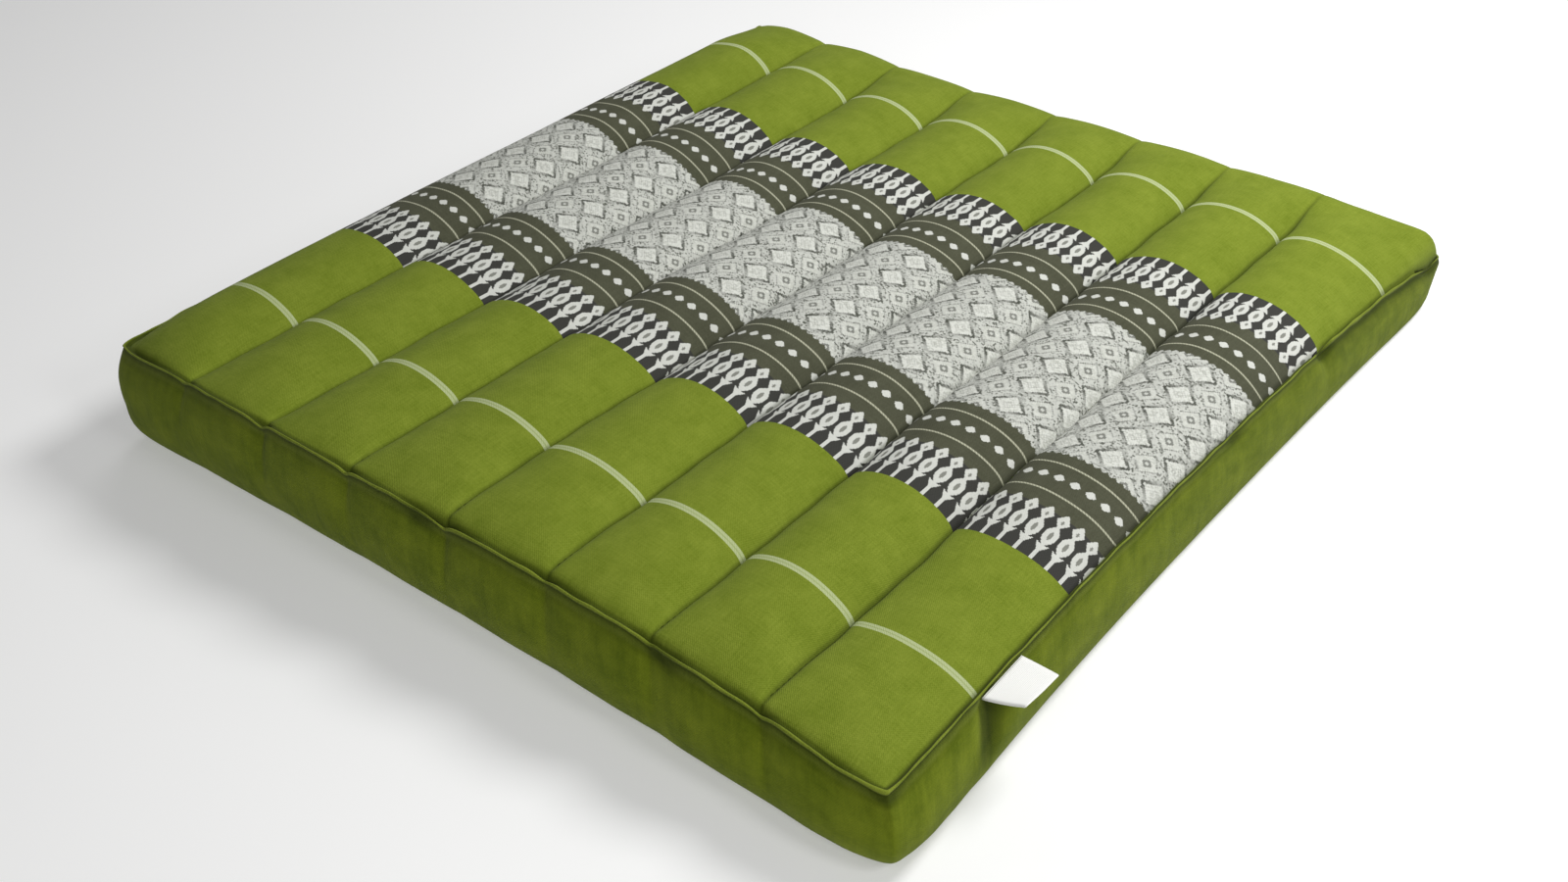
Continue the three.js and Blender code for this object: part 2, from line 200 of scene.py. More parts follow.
pad = {
    "halfLeft": 241.0,                       # origin to welt at the corners
    "halfRight": 238.5,
    "halfLength": 251.5,
    "drawIn": {"left": 0.0, "right": 4.5, "front": 6.5, "back": 1.5},
    "baseDraw": 0.7,                         # share of the drawing in that reaches the base
    "endScallop": 2.0,                       # each channel pushes the end welt out again
    "baseScallop": 0.3,                      # share of that at the base
    "weltDip": 2.4,                          # and the welt dips where a channel seam meets it
    "dipLevel": 0.6,
    "dipFade": 8,
    "seamNotch": (2.6, 4.5),                 # with a short notch there: depth and half width
    "seamFold": (1.5, 3.5),                  # and a crease down the boxing below it
    "foldEnds": (0.45, 0.9),                 # shares of the boxing's height where that fades out
    "seamUneven": (0.5, 1.3),                # both weaker or stronger from seam to seam
    # height of the front welt, and how far the boxing leans out to it, from the left corner over the
    # seams to the right corner
    "frontWelt": (57.5, 63.0, 63.0, 61.5, 57.5, 55.0, 51.0, 45.0, 39.5),
    "frontLean": (2.5, 8.5, 10.5, 10.5, 8.0, 5.5, 3.5, 1.0, 0.0),
    "backWelt": (42.0, 32.0),
    "frontLeftPull": 5.0,                    # the front left corner is pulled in sideways
    "rightRise": 5.0,                        # the right-hand welt bows up in its middle
    # the back right corner is low at its welt, slack below it and bulging over it above
    "backRight": {"drop": 4.0, "reach": (6.0, 3.5), "slack": 0.8, "over": 0.75},
    # above that welt the last channel is puffed up to a shoulder with shorter rolls to both welts; it
    # comes in between these shares of the way along the cushion and across the channel
    "puff": {
        "shoulder": 43.5,
        "roll": 9.0,
        "endRoll": 0.55,
        "along": (0.62, 0.92),
        "across": (0.15, 0.55),
    },
    "backLeftLift": 5.0,
    "cornerSpread": 6,                       # how close to the corners those stay
    # size of the pinched lip along each side, and at the back right corner
    "lip": {
        "left": 0.4,
        "right": 0.5,
        "rightBack": 0.9,
        "frontLeft": 0.5,
        "front": 0.72,
        "frontRamp": 1.2,                    # the front left lip thickens over this much of the front
        "back": 0.8,
        "backRight": 0.5,
        "endBlend": 20,                      # how close to the corners the side and end lips blend
        "uneven": 0.5,
        "waves": (13.0, 21.0, 37.0),
    },
    "thickerLip": (108.0, 16.0),             # where the right-hand lip thickens, and over what length
    "crest": [
        (70.0, 69.5, 67.5, 66.0), (69.0, 68.0, 65.0, 63.0), (68.5, 66.5, 62.0, 59.0),
        (68.0, 67.5, 62.5, 59.5), (66.0, 66.5, 60.5, 59.5), (62.5, 64.0, 60.5, 59.5),
        (58.5, 61.0, 59.0, 57.0), (50.0, 54.0, 55.5, 52.0),
    ],
    "seam": [
        (59.5, 58.0, 55.0, 53.5), (58.5, 55.0, 50.0, 49.5), (59.5, 56.5, 50.5, 47.5),
        (59.0, 53.5, 50.5, 47.5), (55.5, 54.5, 50.5, 47.5), (50.5, 52.0, 49.0, 47.5),
        (45.5, 48.5, 48.0, 46.5),
    ],
    "seamShift": (4.0, 4.5, 2.5, 3.5, 3.0, 0.5, -2.5),
    "endStation": 187.0,
    "bandStation": 68.0,
    "archPower": 2.2,
    "leftArchPower": (3.0, 5.0),             # the outer halves of the end channels are fuller
    "rightArchPower": 2.8,
    "rightBulge": {"front": 1.15, "back": 0.35},
    # towards the end welts the channels flatten out, to a share of their height, and roll over
    "front": {"flat": 0.3, "length": 62.0, "seamRoll": 18.0, "crestRoll": 42.0, "power": 2.0},
    "back": {"flat": 1.0, "length": 64.0, "seamRoll": 20.0, "crestRoll": 20.0, "power": 2.2},
    "flatLevel": 0.55,
    "firstSeamLevel": 0.22,                  # the first seam stays deeper than the others
    "seamPinch": 2.8,                        # the stitches pull the cloth down in a narrow groove
    "pinchWidth": 1.2,
    "pinchPower": 1.5,
    "pinchLost": {"first": 0.2, "other": 0.9},   # share of it that goes where the ends flatten out
    "seamWander": 0.9,                       # and the sewn lines aren't quite straight
    "wanderReach": 12.0,
    "lumps": 0.9,                            # unevenness of the filling
    "lumpSize": {"broad": (46.0, 62.0), "fine": (19.0, 24.0)},   # across and along the channels
    "fineLumps": 0.4,                        # share of the fine ones
    "lumpsFrom": 10.0,                       # they come in over this distance from a sewn line
    "edgeHold": 10,                          # and die out this quickly towards the welt
    "puckers": 0.5,                          # small gathers beside the sewn lines
    "puckerReach": (2.5, 9.0),
    "puckerWaves": (9.5, 14.0, 23.0),
    "endGathers": 0.5,                       # and where the channels end at the welt
    "gatherReach": (2.0, 9.0),
    "gatherWaves": (8.5, 13.0, 19.0),
    "gatherLeast": 0.3,
    "boxingFolds": 0.6,                      # upright creases in the boxing
    "foldWaves": ((21.0, 34.0, 55.0), (9.0, 13.0, 17.0)),
    "fineFolds": 0.5,
    "foldDrift": 3,                          # the fine ones lean over from ring to ring
    "baseGroove": 4.0,
    "baseFade": 12,
    "baseInset": -2.0,
    "baseCorner": 7.0,
    "topInset": -2.2,
    "topDrop": 1.3,
    "topCorner": 2.0,
    "weltWave": 0.9,                         # the welt isn't quite straight
    "weltWaves": (17.0, 29.0, 43.0, 71.0),
    "weltRipple": 0.7,                       # least of all along the front
    "rippleWaves": (9.0, 12.0, 15.0),
    "edgeRun": (240.0, 250.0),               # measure along the edges for these waves
    "baseTurn": 5.0,                         # cloth that turns under the base
    "cornerPower": 24,                       # keeps a corner's rounding to the last few centimetres
    "cornerTurn": {"front": 0.44, "back": 0.36},   # but a larger one starts further back and stays convex
    "channelSteps": (0, 0.022, 0.065, 0.14, 0.25, 0.375, 0.5, 0.625, 0.75, 0.86, 0.935, 0.978),
    "endSteps": (0, 1.6, 3.6, 6.2, 9.5, 13.5, 18, 23, 28.5),
    "rowStep": 4.3,
    "clothPerChannel": 75.2,                 # cloth taken by a channel, its seam tucks included
    # how the cloth lies in each channel, and the pattern's own centre line there
    "clothShift": (4.0, 0.0, 0.7, 2.0, 1.0, 0.0, -0.9, -0.8),
    "clothMiddle": (-3.2, -1.5, -1.5, -1.1, -1.8, -1.3, -0.5, -1.4),
    "fill": 0.75,
    "seamCrease": 1.0,
    "weltCrease": 0.6,
}

# Section of the welt and the boxing from the top down: distance out from the welt line, share of the
# welt's height, lift, and how far the corners are rounded at that level
sideRings = [
    (-1.7, 1.0, -1.2, 2.0),
    (-1.3, 1.0, -0.2, 2.0),
    (-0.8, 1.0, 0.7, 2.0),
    (-0.2, 1.0, 1.0, 2.0),
    (0.4, 1.0, 0.7, 2.0),
    (0.7, 1.0, -0.1, 2.0),
    (0.4, 1.0, -1.0, 2.0),
    (0.1, 1.0, -1.8, 2.0),
    (1.6, 0.95, -0.8, 2.2),
    (4.2, 0.865, 0.0, 2.7),
    (7.1, 0.75, 0.0, 3.4),
    (9.2, 0.62, 0.0, 4.0),
    (10.4, 0.5, 0.0, 4.5),
    (10.8, 0.4, 0.0, 5.0),
    (10.3, 0.29, 0.0, 5.5),
    (9.0, 0.18, 0.0, 6.0),
    (6.0, 0.07, 0.0, 7.0),
    (1.8, 0.012, 0.0, 7.0),
]
boxingStart = 7                              # the ring that is the boxing's own stitch line
onEdge = 0.9999                              # past this share of the way a point is on the welt
smallest = 0.1                               # a corner's rounding is never counted smaller than this

# Each kind of unevenness has its own seed, so every run gives the same cushion
seeds = {
    "wander": 40,
    "puckers": 90,
    "gathers": 17,
    "backGathers": 900,
    "weltWave": 5,
    "weltRipple": 71,
    "lip": 61,
    "folds": 23,
    "fineFolds": 29,
    "seamEnds": 31,
    "broadLumps": 3.7,
    "fineLumps": 9.1,
}

# Share of that rounding at each corner, by height: at the base, below and above the middle, at the welt
cornerLevels = (0.0, 0.4, 0.85, 1.0)
cornerShare = {
    "frontLeft": (0.1, 1.2, 1.0, 0.5),
    "frontRight": (1.1, 1.2, 1.2, 0.5),
    "backLeft": (0.9, 1.0, 1.0, 1.0),
    "backRight": (1.05, 1.4, 1.6, 2.4),
}

# Painted shade in the sewn lines, tucks and crevices, from 0 to 1: down the welt's rings, and along the
# channel seams
ringShade = (1.0, 0.6, 0.05, 0, 0, 0.1, 0.65, 1.0, 0.5, 0.12, 0.05, 0.0)
seamShade = {
    "front": 0.7,                            # at the seams' front and back ends
    "back": 0.1,
    "length": 55.0,                          # over this length it comes up to the full
    "fieldLess": 0.82,                       # less of it on the pale field
    "fieldEdge": 6.0,
    "topLine": 0.9,                          # between the top panel and the welt
    "tuck": 0.4,                             # more for every mm that the welt is tucked under
    "corner": 2.0,                           # times more under the welt at the right-hand corners
    "cornerFade": 50,
    "rightBack": 2.4,                        # and along the back of the right side
}

# Places where the welt is tucked under: side, distance along it, half width, drop and pull
weltTucks = [
    ("right", 116.0, 5.0, 4.5, 3.0),
    ("right", 236.0, 10.0, 3.5, 1.5),
    ("right", 24.0, 7.0, 1.2, 1.0),
    ("front", -12.0, 8.0, 1.6, 1.2),
    ("front", 126.0, 9.0, 1.4, 1.2),
]

# The boxing is tucked in under the near end of the label: a dent that narrows and fades downwards, darkened
# with painted shadow of the label
labelTuck = {
    "start": -189.0,                         # along the right-hand seam
    "edge": 4.0,                             # its front edge is sharp, its back edge soft
    "length": 26.0,
    "levels": (0.1, 0.75),                   # shares of the welt's height from its tip to its full depth
    "depth": 5.0,
    # painted shadow of the label in the dent
    "shade": 1.0,
}


def ease(x):
    x = np.clip(x, 0, 1)
    return x * x * (3 - 2 * x)


def easeBetween(x, limits):
    return ease((x - limits[0]) / (limits[1] - limits[0]))


def gridColumns():
    steps = pad["channelSteps"]
    count = len(pad["crest"])
    channel = np.repeat(np.arange(count), len(steps))
    t = np.tile(np.array(steps), count)
    return np.append(channel, count - 1), np.append(t, 1.0)


def gridRows():
    ends = list(pad["endSteps"])
    inner = pad["halfLength"] - ends[-1]
    count = int(round(inner / pad["rowStep"]))
    distances = np.array(ends + [ends[-1] + inner * (k + 1) / count for k in range(count)])
    front = distances / pad["halfLength"] - 1
    return np.concatenate([front, -front[-2::-1]])


def wobble(values, seed, waves=(31.0, 57.0, 113.0)):
    phases = np.random.default_rng(seed).uniform(0, 2 * np.pi, len(waves))
    return sum(np.sin(2 * np.pi * values / wave + phase) for wave, phase in zip(waves, phases)) / len(waves)


def atStation(row, b):
    front, near, far, back = row
    y = b * pad["halfLength"]
    end, band = pad["endStation"], pad["bandStation"]
    height = front + (near - front) * ease((y + end) / (end - band))
    height = height + (far - near) * ease((y + band) / (2 * band))
    return height + (back - far) * ease((y - band) / (end - band))


def overFront(values, a):
    # a value given at the corners and seams, anywhere across
    return np.interp((a + 1) / 2 * len(pad["crest"]), range(len(values)), values)


def weltHeight(a, b):
    across = (a + 1) / 2
    left, right = pad["backWelt"]
    front = overFront(pad["frontWelt"], a)
    back = left + (right - left) * across
    height = front + (back - front) * (b + 1) / 2 + pad["rightRise"] * (1 - b * b) * across
    atBack = np.maximum(b, 0) ** pad["cornerSpread"]
    height = height - pad["backRight"]["drop"] * atBack * np.maximum(a, 0) ** pad["cornerSpread"]
    return height + pad["backLeftLift"] * atBack * np.maximum(-a, 0) ** pad["cornerSpread"]


def archOf(channel, t, b=0.0):
    front, back = pad["leftArchPower"]
    power = np.full(np.shape(t), pad["archPower"])
    power = np.where((channel == 0) & (t < 0.5), front + (back - front) * (b + 1) / 2, power)
    power = np.where((channel == len(pad["crest"]) - 1) & (t > 0.5), pad["rightArchPower"], power)
    return 1 - np.abs(2 * t - 1) ** power


def linePlace(line, b, draw):
    # x of a sewn line, counted from the left welt; the two welts are drawn in between the corners
    count = len(pad["crest"])
    shift = np.array((0.0,) + pad["seamShift"] + (0.0,))[line]
    pull = np.where(line == 0, pad["drawIn"]["left"], np.where(line == count, -pad["drawIn"]["right"], 0))
    even = -pad["halfLeft"] + (pad["halfLeft"] + pad["halfRight"]) * line / count
    atFront, atBack = [np.maximum(end, 0) ** pad["cornerSpread"] for end in (-b, b)]
    reach = np.where(line == count, pad["backRight"]["reach"][0], 0) * atBack
    reach = reach + np.where(line == 0, pad["frontLeftPull"], 0) * atFront
    return even + shift + pull * draw * (1 - b * b) + reach


def nearBackRight(a, b):
    return (np.maximum(a, 0) * np.maximum(b, 0)) ** pad["cornerSpread"]


def planAt(channel, t, b, out, share, corner):
    a = 2 * (channel + t) / len(pad["crest"]) - 1
    draw = pad["baseDraw"] + (1 - pad["baseDraw"]) * share
    out = np.where(out > 0, out * (1 - pad["backRight"]["slack"] * nearBackRight(a, b)), out)
    at = {name: np.interp(share, cornerLevels, row) for name, row in cornerShare.items()}
    atFront = np.where(a < 0, at["frontLeft"], at["frontRight"])
    atBack = np.where(a < 0, at["backLeft"], at["backRight"])
    size = corner * np.where(b < 0, atFront, atBack)
    turn = np.where(b < 0, pad["cornerTurn"]["front"], pad["cornerTurn"]["back"])
    power = np.minimum(pad["cornerPower"], turn * pad["halfLength"] / np.maximum(size, smallest))
    rounding = size * np.abs(a * b) ** power
    bulge = pad["rightBulge"]
    fullness = bulge["back"] + (bulge["front"] - bulge["back"]) * np.maximum(-b, 0) ** 2
    sideOut = np.where((a > 0) & (out > 0), fullness * out, out)
    endDraw = np.where(b < 0, pad["drawIn"]["front"], pad["drawIn"]["back"]) * draw * (1 - a * a)
    scallop = pad["endScallop"] * (pad["baseScallop"] + (1 - pad["baseScallop"]) * share)
    lean = np.where(b < 0, overFront(pad["frontLean"], a) * share ** 2, 0)
    lean = lean + np.where(b > 0, pad["backRight"]["reach"][1] * np.maximum(a, 0) ** pad["cornerSpread"], 0)
    end = pad["halfLength"] - endDraw + lean + scallop * archOf(channel, t) + out - rounding
    left, right = linePlace(channel, b, draw), linePlace(channel + 1, b, draw)
    return left + (right - left) * t + a * (sideOut - rounding), b * end


def lumpAt(x, y):
    broadX, broadY = pad["lumpSize"]["broad"]
    fineX, fineY = pad["lumpSize"]["fine"]
    broad = noise.noise(Vector((x / broadX, y / broadY, seeds["broadLumps"])))
    fine = noise.noise(Vector((x / fineX, y / fineY, seeds["fineLumps"])))
    return pad["lumps"] * (broad + pad["fineLumps"] * fine)


def topSurface(channel, t, b):
    columns, rows = len(t), len(b)
    count = len(pad["crest"])
    channel2, b2 = np.meshgrid(channel, b)
    t2 = np.broadcast_to(t, b2.shape)
    a2 = 2 * (channel2 + t2) / count - 1
    arch2 = archOf(channel2, t2, b2)
    inner = 1 - np.maximum(np.abs(a2), np.abs(b2)) ** pad["edgeHold"]
    inset = pad["topInset"] * (1 - pad["backRight"]["over"] * nearBackRight(a2, b2))
    x, y = planAt(channel2, t2, b2, inset, 1.0, pad["topCorner"])

    foot = weltHeight(a2, b2) - pad["topDrop"]
    lines = [weltHeight(-1.0, b) - pad["topDrop"]]
    lines += [atStation(row, b) for row in pad["seam"]]
    lines += [weltHeight(1.0, b) - pad["topDrop"]]
    lines = np.array(lines).T
    left, right = lines[:, channel], lines[:, channel + 1]
    crest = np.array([atStation(row, b) for row in pad["crest"]]).T[:, channel]
    base, rise = left + (right - left) * t2, crest - (left + right) / 2
    full = base + rise * arch2

    # the channels flatten out towards both ends, but not over the outer welts
    lifts = pad["flatLevel"] * rise[:, ::len(pad["channelSteps"])][:, :count]
    seamLifts = (lifts[:, :-1] + lifts[:, 1:]) / 2
    seamLifts[:, 0] *= pad["firstSeamLevel"] / pad["flatLevel"]
    leftLift = np.concatenate([lifts[:, :1], seamLifts], axis=1)[:, channel]
    rightLift = np.concatenate([seamLifts, lifts[:, -1:]], axis=1)[:, channel]
    middle = lifts[:, channel]
    rising = leftLift + (middle - leftLift) * 2 * t2
    falling = middle + (rightLift - middle) * (2 * t2 - 1)
    towards = np.where(t2 < 0.5, rising, falling)
    outer = ((channel2 == 0) & (t2 < 0.5)) | ((channel2 == count - 1) & (t2 > 0.5))
    level = base + np.where(outer, middle * arch2, towards)
    fromEnd = (1 - np.abs(b2)) * pad["halfLength"]
    end = {name: np.where(b2 < 0, pad["front"][name], pad["back"][name]) for name in pad["front"]}
    flat = end["flat"] * ease(1 - fromEnd / end["length"])
    full += flat * (level - full)

    # the back right corner is puffed up almost to its welt
    puff = pad["puff"]
    fromWelt = (1 - t2) * (pad["halfLeft"] + pad["halfRight"]) / count
    over = np.sqrt(1 - (1 - np.minimum(fromWelt / puff["roll"], 1)) ** 2)
    puffed = right + (left + (puff["shoulder"] - left) * t2 - right) * over
    atCorner = easeBetween(b2, puff["along"]) * easeBetween(t2, puff["across"]) * (channel2 == count - 1)
    full += atCorner * (np.maximum(puffed, full) - full)

    # sewn lines: pulled down and wandering a little, with gathers in the cloth beside them
    reach = np.minimum(t2, 1 - t2) * (pad["halfLeft"] + pad["halfRight"]) / count
    nearest = np.round(channel + t).astype(int)
    first, last = pad["puckerReach"]
    for k in range(columns):
        if nearest[k] in (0, count):
            continue
        fromLine = reach[0, k]
        sway = np.exp(-fromLine / pad["wanderReach"])
        x[:, k] += pad["seamWander"] * wobble(y[:, k], seeds["wander"] + nearest[k]) * sway * inner[:, k]
        side = 1 if t[k] < 0.5 else 2
        gather = wobble(y[:, k], seeds["puckers"] + 2 * nearest[k] + side, pad["puckerWaves"])
        beside = np.exp(-fromLine / last) * (1 - np.exp(-fromLine / first))
        full[:, k] += pad["puckers"] * gather * beside
        lost = pad["pinchLost"]["first" if nearest[k] == 1 else "other"]
        held = 1 - flat[:, k] * lost
        groove = np.exp(-(fromLine / pad["pinchWidth"]) ** pad["pinchPower"])
        full[:, k] -= pad["seamPinch"] * groove * held
    for j in range(rows):
        for k in range(columns):
            filled = min(reach[j, k] / pad["lumpsFrom"], 1)
            full[j, k] += lumpAt(x[j, k], y[j, k]) * inner[j, k] * filled

    rollLength = end["seamRoll"] + (end["crestRoll"] - end["seamRoll"]) * arch2
    rollLength = rollLength * (1 - (1 - puff["endRoll"]) * atCorner)
    rolled = np.minimum(fromEnd / rollLength, 1)
    z = foot + (full - foot) * (1 - (1 - rolled) ** end["power"]) ** (1 / end["power"])

    # the channel ends are gathered a little into the end welts
    gathers = wobble(x + seeds["backGathers"] * (b2 > 0), seeds["gathers"], pad["gatherWaves"])
    first, last = pad["gatherReach"]
    beside = np.exp(-fromEnd / last) * (1 - np.exp(-fromEnd / first))
    z += pad["endGathers"] * gathers * beside * inner.clip(pad["gatherLeast"], 1)
    return np.stack([x, y, z], axis=2), a2, b2, arch2


def edgeLoop(columns, rows):
    lastColumn, lastRow = columns - 1, rows - 1
    loop = [(i, 0) for i in range(lastColumn)]
    loop += [(lastColumn, j) for j in range(lastRow)]
    loop += [(i, lastRow) for i in range(lastColumn, 0, -1)]
    loop += [(0, j) for j in range(lastRow, 0, -1)]
    return loop


def clothAcross(top, channel, t):
    # arc length from each channel's crest, so that the woven pattern lies on the cloth as cut
    across = np.zeros(top.shape[:2])
    steps = np.linalg.norm(np.diff(top, axis=1), axis=2)
    running = np.concatenate([np.zeros((len(top), 1)), np.cumsum(steps, axis=1)], axis=1)
    for k in range(len(t)):
        crestColumn = channel[k] * len(pad["channelSteps"]) + pad["channelSteps"].index(0.5)
        across[:, k] = running[:, k] - running[:, crestColumn]
    return across + (channel + 0.5) * pad["clothPerChannel"] - np.array(pad["clothShift"])[channel]


def tuckAt(a, b, x, y):
    # how far the welt drops and is pulled in at its tucks
    drop, pull = np.zeros(len(x)), np.zeros(len(x))
    for side, place, width, depth, draw in weltTucks:
        onSide = a > onEdge if side == "right" else b < -onEdge
        run = y if side == "right" else x
        weight = np.exp(-((run - place) / width) ** 2) * onSide
        drop += depth * weight
        pull += draw * weight
    return drop, pull


def underLabel(y, share, onRight):
    # from 0 to 1 in the dent below the label, at a share of the welt's height
    deep = easeBetween(share, labelTuck["levels"])
    start, edge = labelTuck["start"], labelTuck["edge"]
    opening = easeBetween(y, (start - edge / 2, start + edge / 2))
    closing = 1 - easeBetween(y, (start + edge / 2, start + edge + labelTuck["length"] * deep))
    return deep * opening * closing * onRight


def seamEnds(channel, t, onFront):
    # notch in the front welt and crease in the boxing below it
    count = len(pad["crest"])
    nearest = np.round(channel + t).astype(int)
    reach = np.minimum(t, 1 - t) * (pad["halfLeft"] + pad["halfRight"]) / count
    strength = np.random.default_rng(seeds["seamEnds"]).uniform(*pad["seamUneven"], count + 1)[nearest]
    strength = strength * onFront * (nearest > 0) * (nearest < count)
    notch, fold = [depth * np.exp(-(reach / width) ** 2) * strength
                   for depth, width in (pad["seamNotch"], pad["seamFold"])]
    return notch, fold


def makePad():
    channel, t = gridColumns()
    b = gridRows()
    columns, rows = len(t), len(b)
    top, a2, b2, arch2 = topSurface(channel, t, b)
    loop = edgeLoop(columns, rows)
    edgeChannel = np.array([channel[i] for i, j in loop])
    edgeT = np.array([t[i] for i, j in loop])
    edgeA = np.array([a2[j, i] for i, j in loop])
    edgeB = np.array([b2[j, i] for i, j in loop])
    edgeArch = np.array([arch2[j, i] for i, j in loop])
    atEnd = np.abs(edgeB) > onEdge
    onFront = edgeB < -onEdge
    onRight = edgeA > onEdge
    weltX, weltY = planAt(edgeChannel, edgeT, edgeB, 0.0, 1.0, 0.0)
    drop, pull = tuckAt(edgeA, edgeB, weltX, weltY)
    run = edgeA * pad["edgeRun"][0] + edgeB * pad["edgeRun"][1]
    evenWelt = weltHeight(edgeA, edgeB)
    dip = np.where(atEnd, pad["weltDip"] * (edgeArch - pad["dipLevel"]), 0)
    weltLine = evenWelt - drop + dip * (1 - np.abs(edgeA) ** pad["dipFade"])
    weltLine += pad["weltWave"] * wobble(run, seeds["weltWave"], pad["weltWaves"])
    weltLine += pad["weltRipple"] * wobble(run, seeds["weltRipple"], pad["rippleWaves"]) * onFront
    notch, fold = seamEnds(edgeChannel, edgeT, onFront)
    weltLine -= notch
    for (i, j), lowered in zip(loop, weltLine - evenWelt):
        top[j, i, 2] += lowered
    points = [tuple(p) for p in top.reshape(-1, 3)]
    ringOf = [[j * columns + i for i, j in loop]]
    lip = pad["lip"]
    frontLip = lip["frontLeft"] + (lip["front"] - lip["frontLeft"]) * ease((edgeA + 1) / lip["frontRamp"])
    endLip = np.where(edgeB < 0, frontLip, lip["back"])
    start, length = pad["thickerLip"]
    thicker = ease((edgeB * pad["halfLength"] - start) / length)
    rightLip = lip["right"] + (lip["rightBack"] - lip["right"]) * thicker
    sideLip = np.where(edgeA < 0, lip["left"], rightLip)
    lipSize = np.where(atEnd, endLip, sideLip + (endLip - sideLip) * np.abs(edgeB) ** lip["endBlend"])
    lipSize = lipSize * (1 + lip["uneven"] * wobble(run, seeds["lip"], lip["waves"]))
    lipSize = lipSize + (lip["backRight"] - lipSize) * nearBackRight(edgeA, edgeB)

    # welt and boxing
    dents = []
    broadWaves, fineWaves = pad["foldWaves"]
    for number, (out, share, lift, corner) in enumerate(sideRings):
        if number > boxingStart:
            folds = wobble(run, seeds["folds"], broadWaves)
            drifted = run + pad["foldDrift"] * number
            folds = folds + pad["fineFolds"] * wobble(drifted, seeds["fineFolds"], fineWaves)
            dent = underLabel(weltY, share, onRight)
            moved = pad["boxingFolds"] * np.sin(np.pi * share) * folds
            moved = moved - fold * easeBetween(share, pad["foldEnds"]) - labelTuck["depth"] * dent
            size = 1.0
        else:
            dent = np.zeros(len(loop))
            moved = 0.0
            size = lipSize
        dents.append(dent)
        x, y = planAt(edgeChannel, edgeT, edgeB, out * size + moved - pull * share, share, corner)
        z = share * weltLine + lift * size
        ringOf.append(list(range(len(points), len(points) + len(loop))))
        points += list(zip(x, y, z))

    # the base lies flat between its sewn lines, on a grid half as fine
    baseIndex = {}
    for j in range(0, rows, 2):
        for i in range(0, columns, 2):
            x, y = planAt(channel[i], t[i], b2[j, i], pad["baseInset"], 0.0, pad["baseCorner"])
            sewn = t[i] == 0 and abs(a2[j, i]) < onEdge
            z = pad["baseGroove"] * (1 - abs(b2[j, i]) ** pad["baseFade"]) if sewn else 0.0
            baseIndex[i, j] = len(points)
            points.append((float(x), float(y), float(z)))

    faces, plans, finishes = [], [], []
    across = clothAcross(top, channel, t)
    middles = np.array(pad["clothMiddle"])
    along = top[:, :, 1] - middles[channel]

    def addFace(corners, plan, finish):
        faces.append(corners)
        plans.extend(plan)
        finishes.append(finish)

    for j in range(rows - 1):
        for i in range(columns - 1):
            places = [(i, j), (i + 1, j), (i + 1, j + 1), (i, j + 1)]
            plan = []
            for column, row in places:
                u = across[row, column]
                if channel[column] != channel[i]:       # the next channel starts past its tuck
                    u = across[row, column - 1] + np.linalg.norm(top[row, column] - top[row, column - 1])
                plan.append((u, top[row, column, 1] - middles[channel[i]]))
            addFace([row * columns + column for column, row in places], plan, 0)

    edgePoints = np.array([points[k] for k in ringOf[boxingStart + 1]])
    lengths = np.linalg.norm(np.roll(edgePoints, -1, axis=0) - edgePoints, axis=1)
    around = np.concatenate([[0], np.cumsum(lengths)])
    depth = 0.0
    for upper, lower in zip(ringOf[:-1], ringOf[1:]):
        step = float(np.mean(np.linalg.norm(
            np.array([points[k] for k in upper]) - np.array([points[k] for k in lower]), axis=1)))
        for k in range(len(loop)):
            nextK = (k + 1) % len(loop)
            corners = [upper[k], lower[k], lower[nextK], upper[nextK]]
            plan = [(around[k], -depth), (around[k], -depth - step),
                    (around[k + 1], -depth - step), (around[k + 1], -depth)]
            addFace(corners, plan, 1)
        depth += step
    lowest = ringOf[-1]
    under = depth + pad["baseTurn"]
    for k in range(0, len(loop), 2):
        first, second = loop[k], loop[(k + 2) % len(loop)]
        corners = [lowest[k], baseIndex[first], baseIndex[second]]
        corners += [lowest[(k + 2) % len(loop)], lowest[k + 1]]
        plan = [(around[k], -depth), (around[k], -under), (around[k + 2], -under),
                (around[k + 2], -depth), (around[k + 1], -depth)]
        addFace(corners, plan, 1)
    for j in range(0, rows - 1, 2):
        for i in range(0, columns - 1, 2):
            corners = [baseIndex[i, j], baseIndex[i, j + 2], baseIndex[i + 2, j + 2], baseIndex[i + 2, j]]
            addFace(corners, [points[k][:2] for k in corners], 1)

    mesh = bpy.data.meshes.new("cushionPad")
    mesh.from_pydata([tuple(c * mm for c in p) for p in points], [], faces)
    mesh.polygons.foreach_set("material_index", finishes)
    mesh.polygons.foreach_set("use_smooth", [True] * len(faces))
    plan = mesh.uv_layers.new(name="clothPlan")
    plan.data.foreach_set("uv", np.array(plans, dtype=np.float32).ravel() * mm)

    # sewn lines stay sharp when the cage is rounded
    seamColumns = [k for k in range(columns) if t[k] == 0 and abs(a2[0, k]) < onEdge]
    seamPoints = {j * columns + k: k for k in seamColumns for j in range(rows)}
    stitchRings = [set(ringOf[0]), set(ringOf[boxingStart + 1])]
    crease = mesh.attributes.new("crease_edge", "FLOAT", "EDGE")
    sharp = np.zeros(len(mesh.edges), dtype=np.float32)
    for number, edge in enumerate(mesh.edges):
        first, second = edge.vertices
        if first in seamPoints and seamPoints.get(second) == seamPoints[first]:
            sharp[number] = pad["seamCrease"]
        elif any(first in ring and second in ring for ring in stitchRings):
            sharp[number] = pad["weltCrease"]
    crease.data.foreach_set("value", sharp)
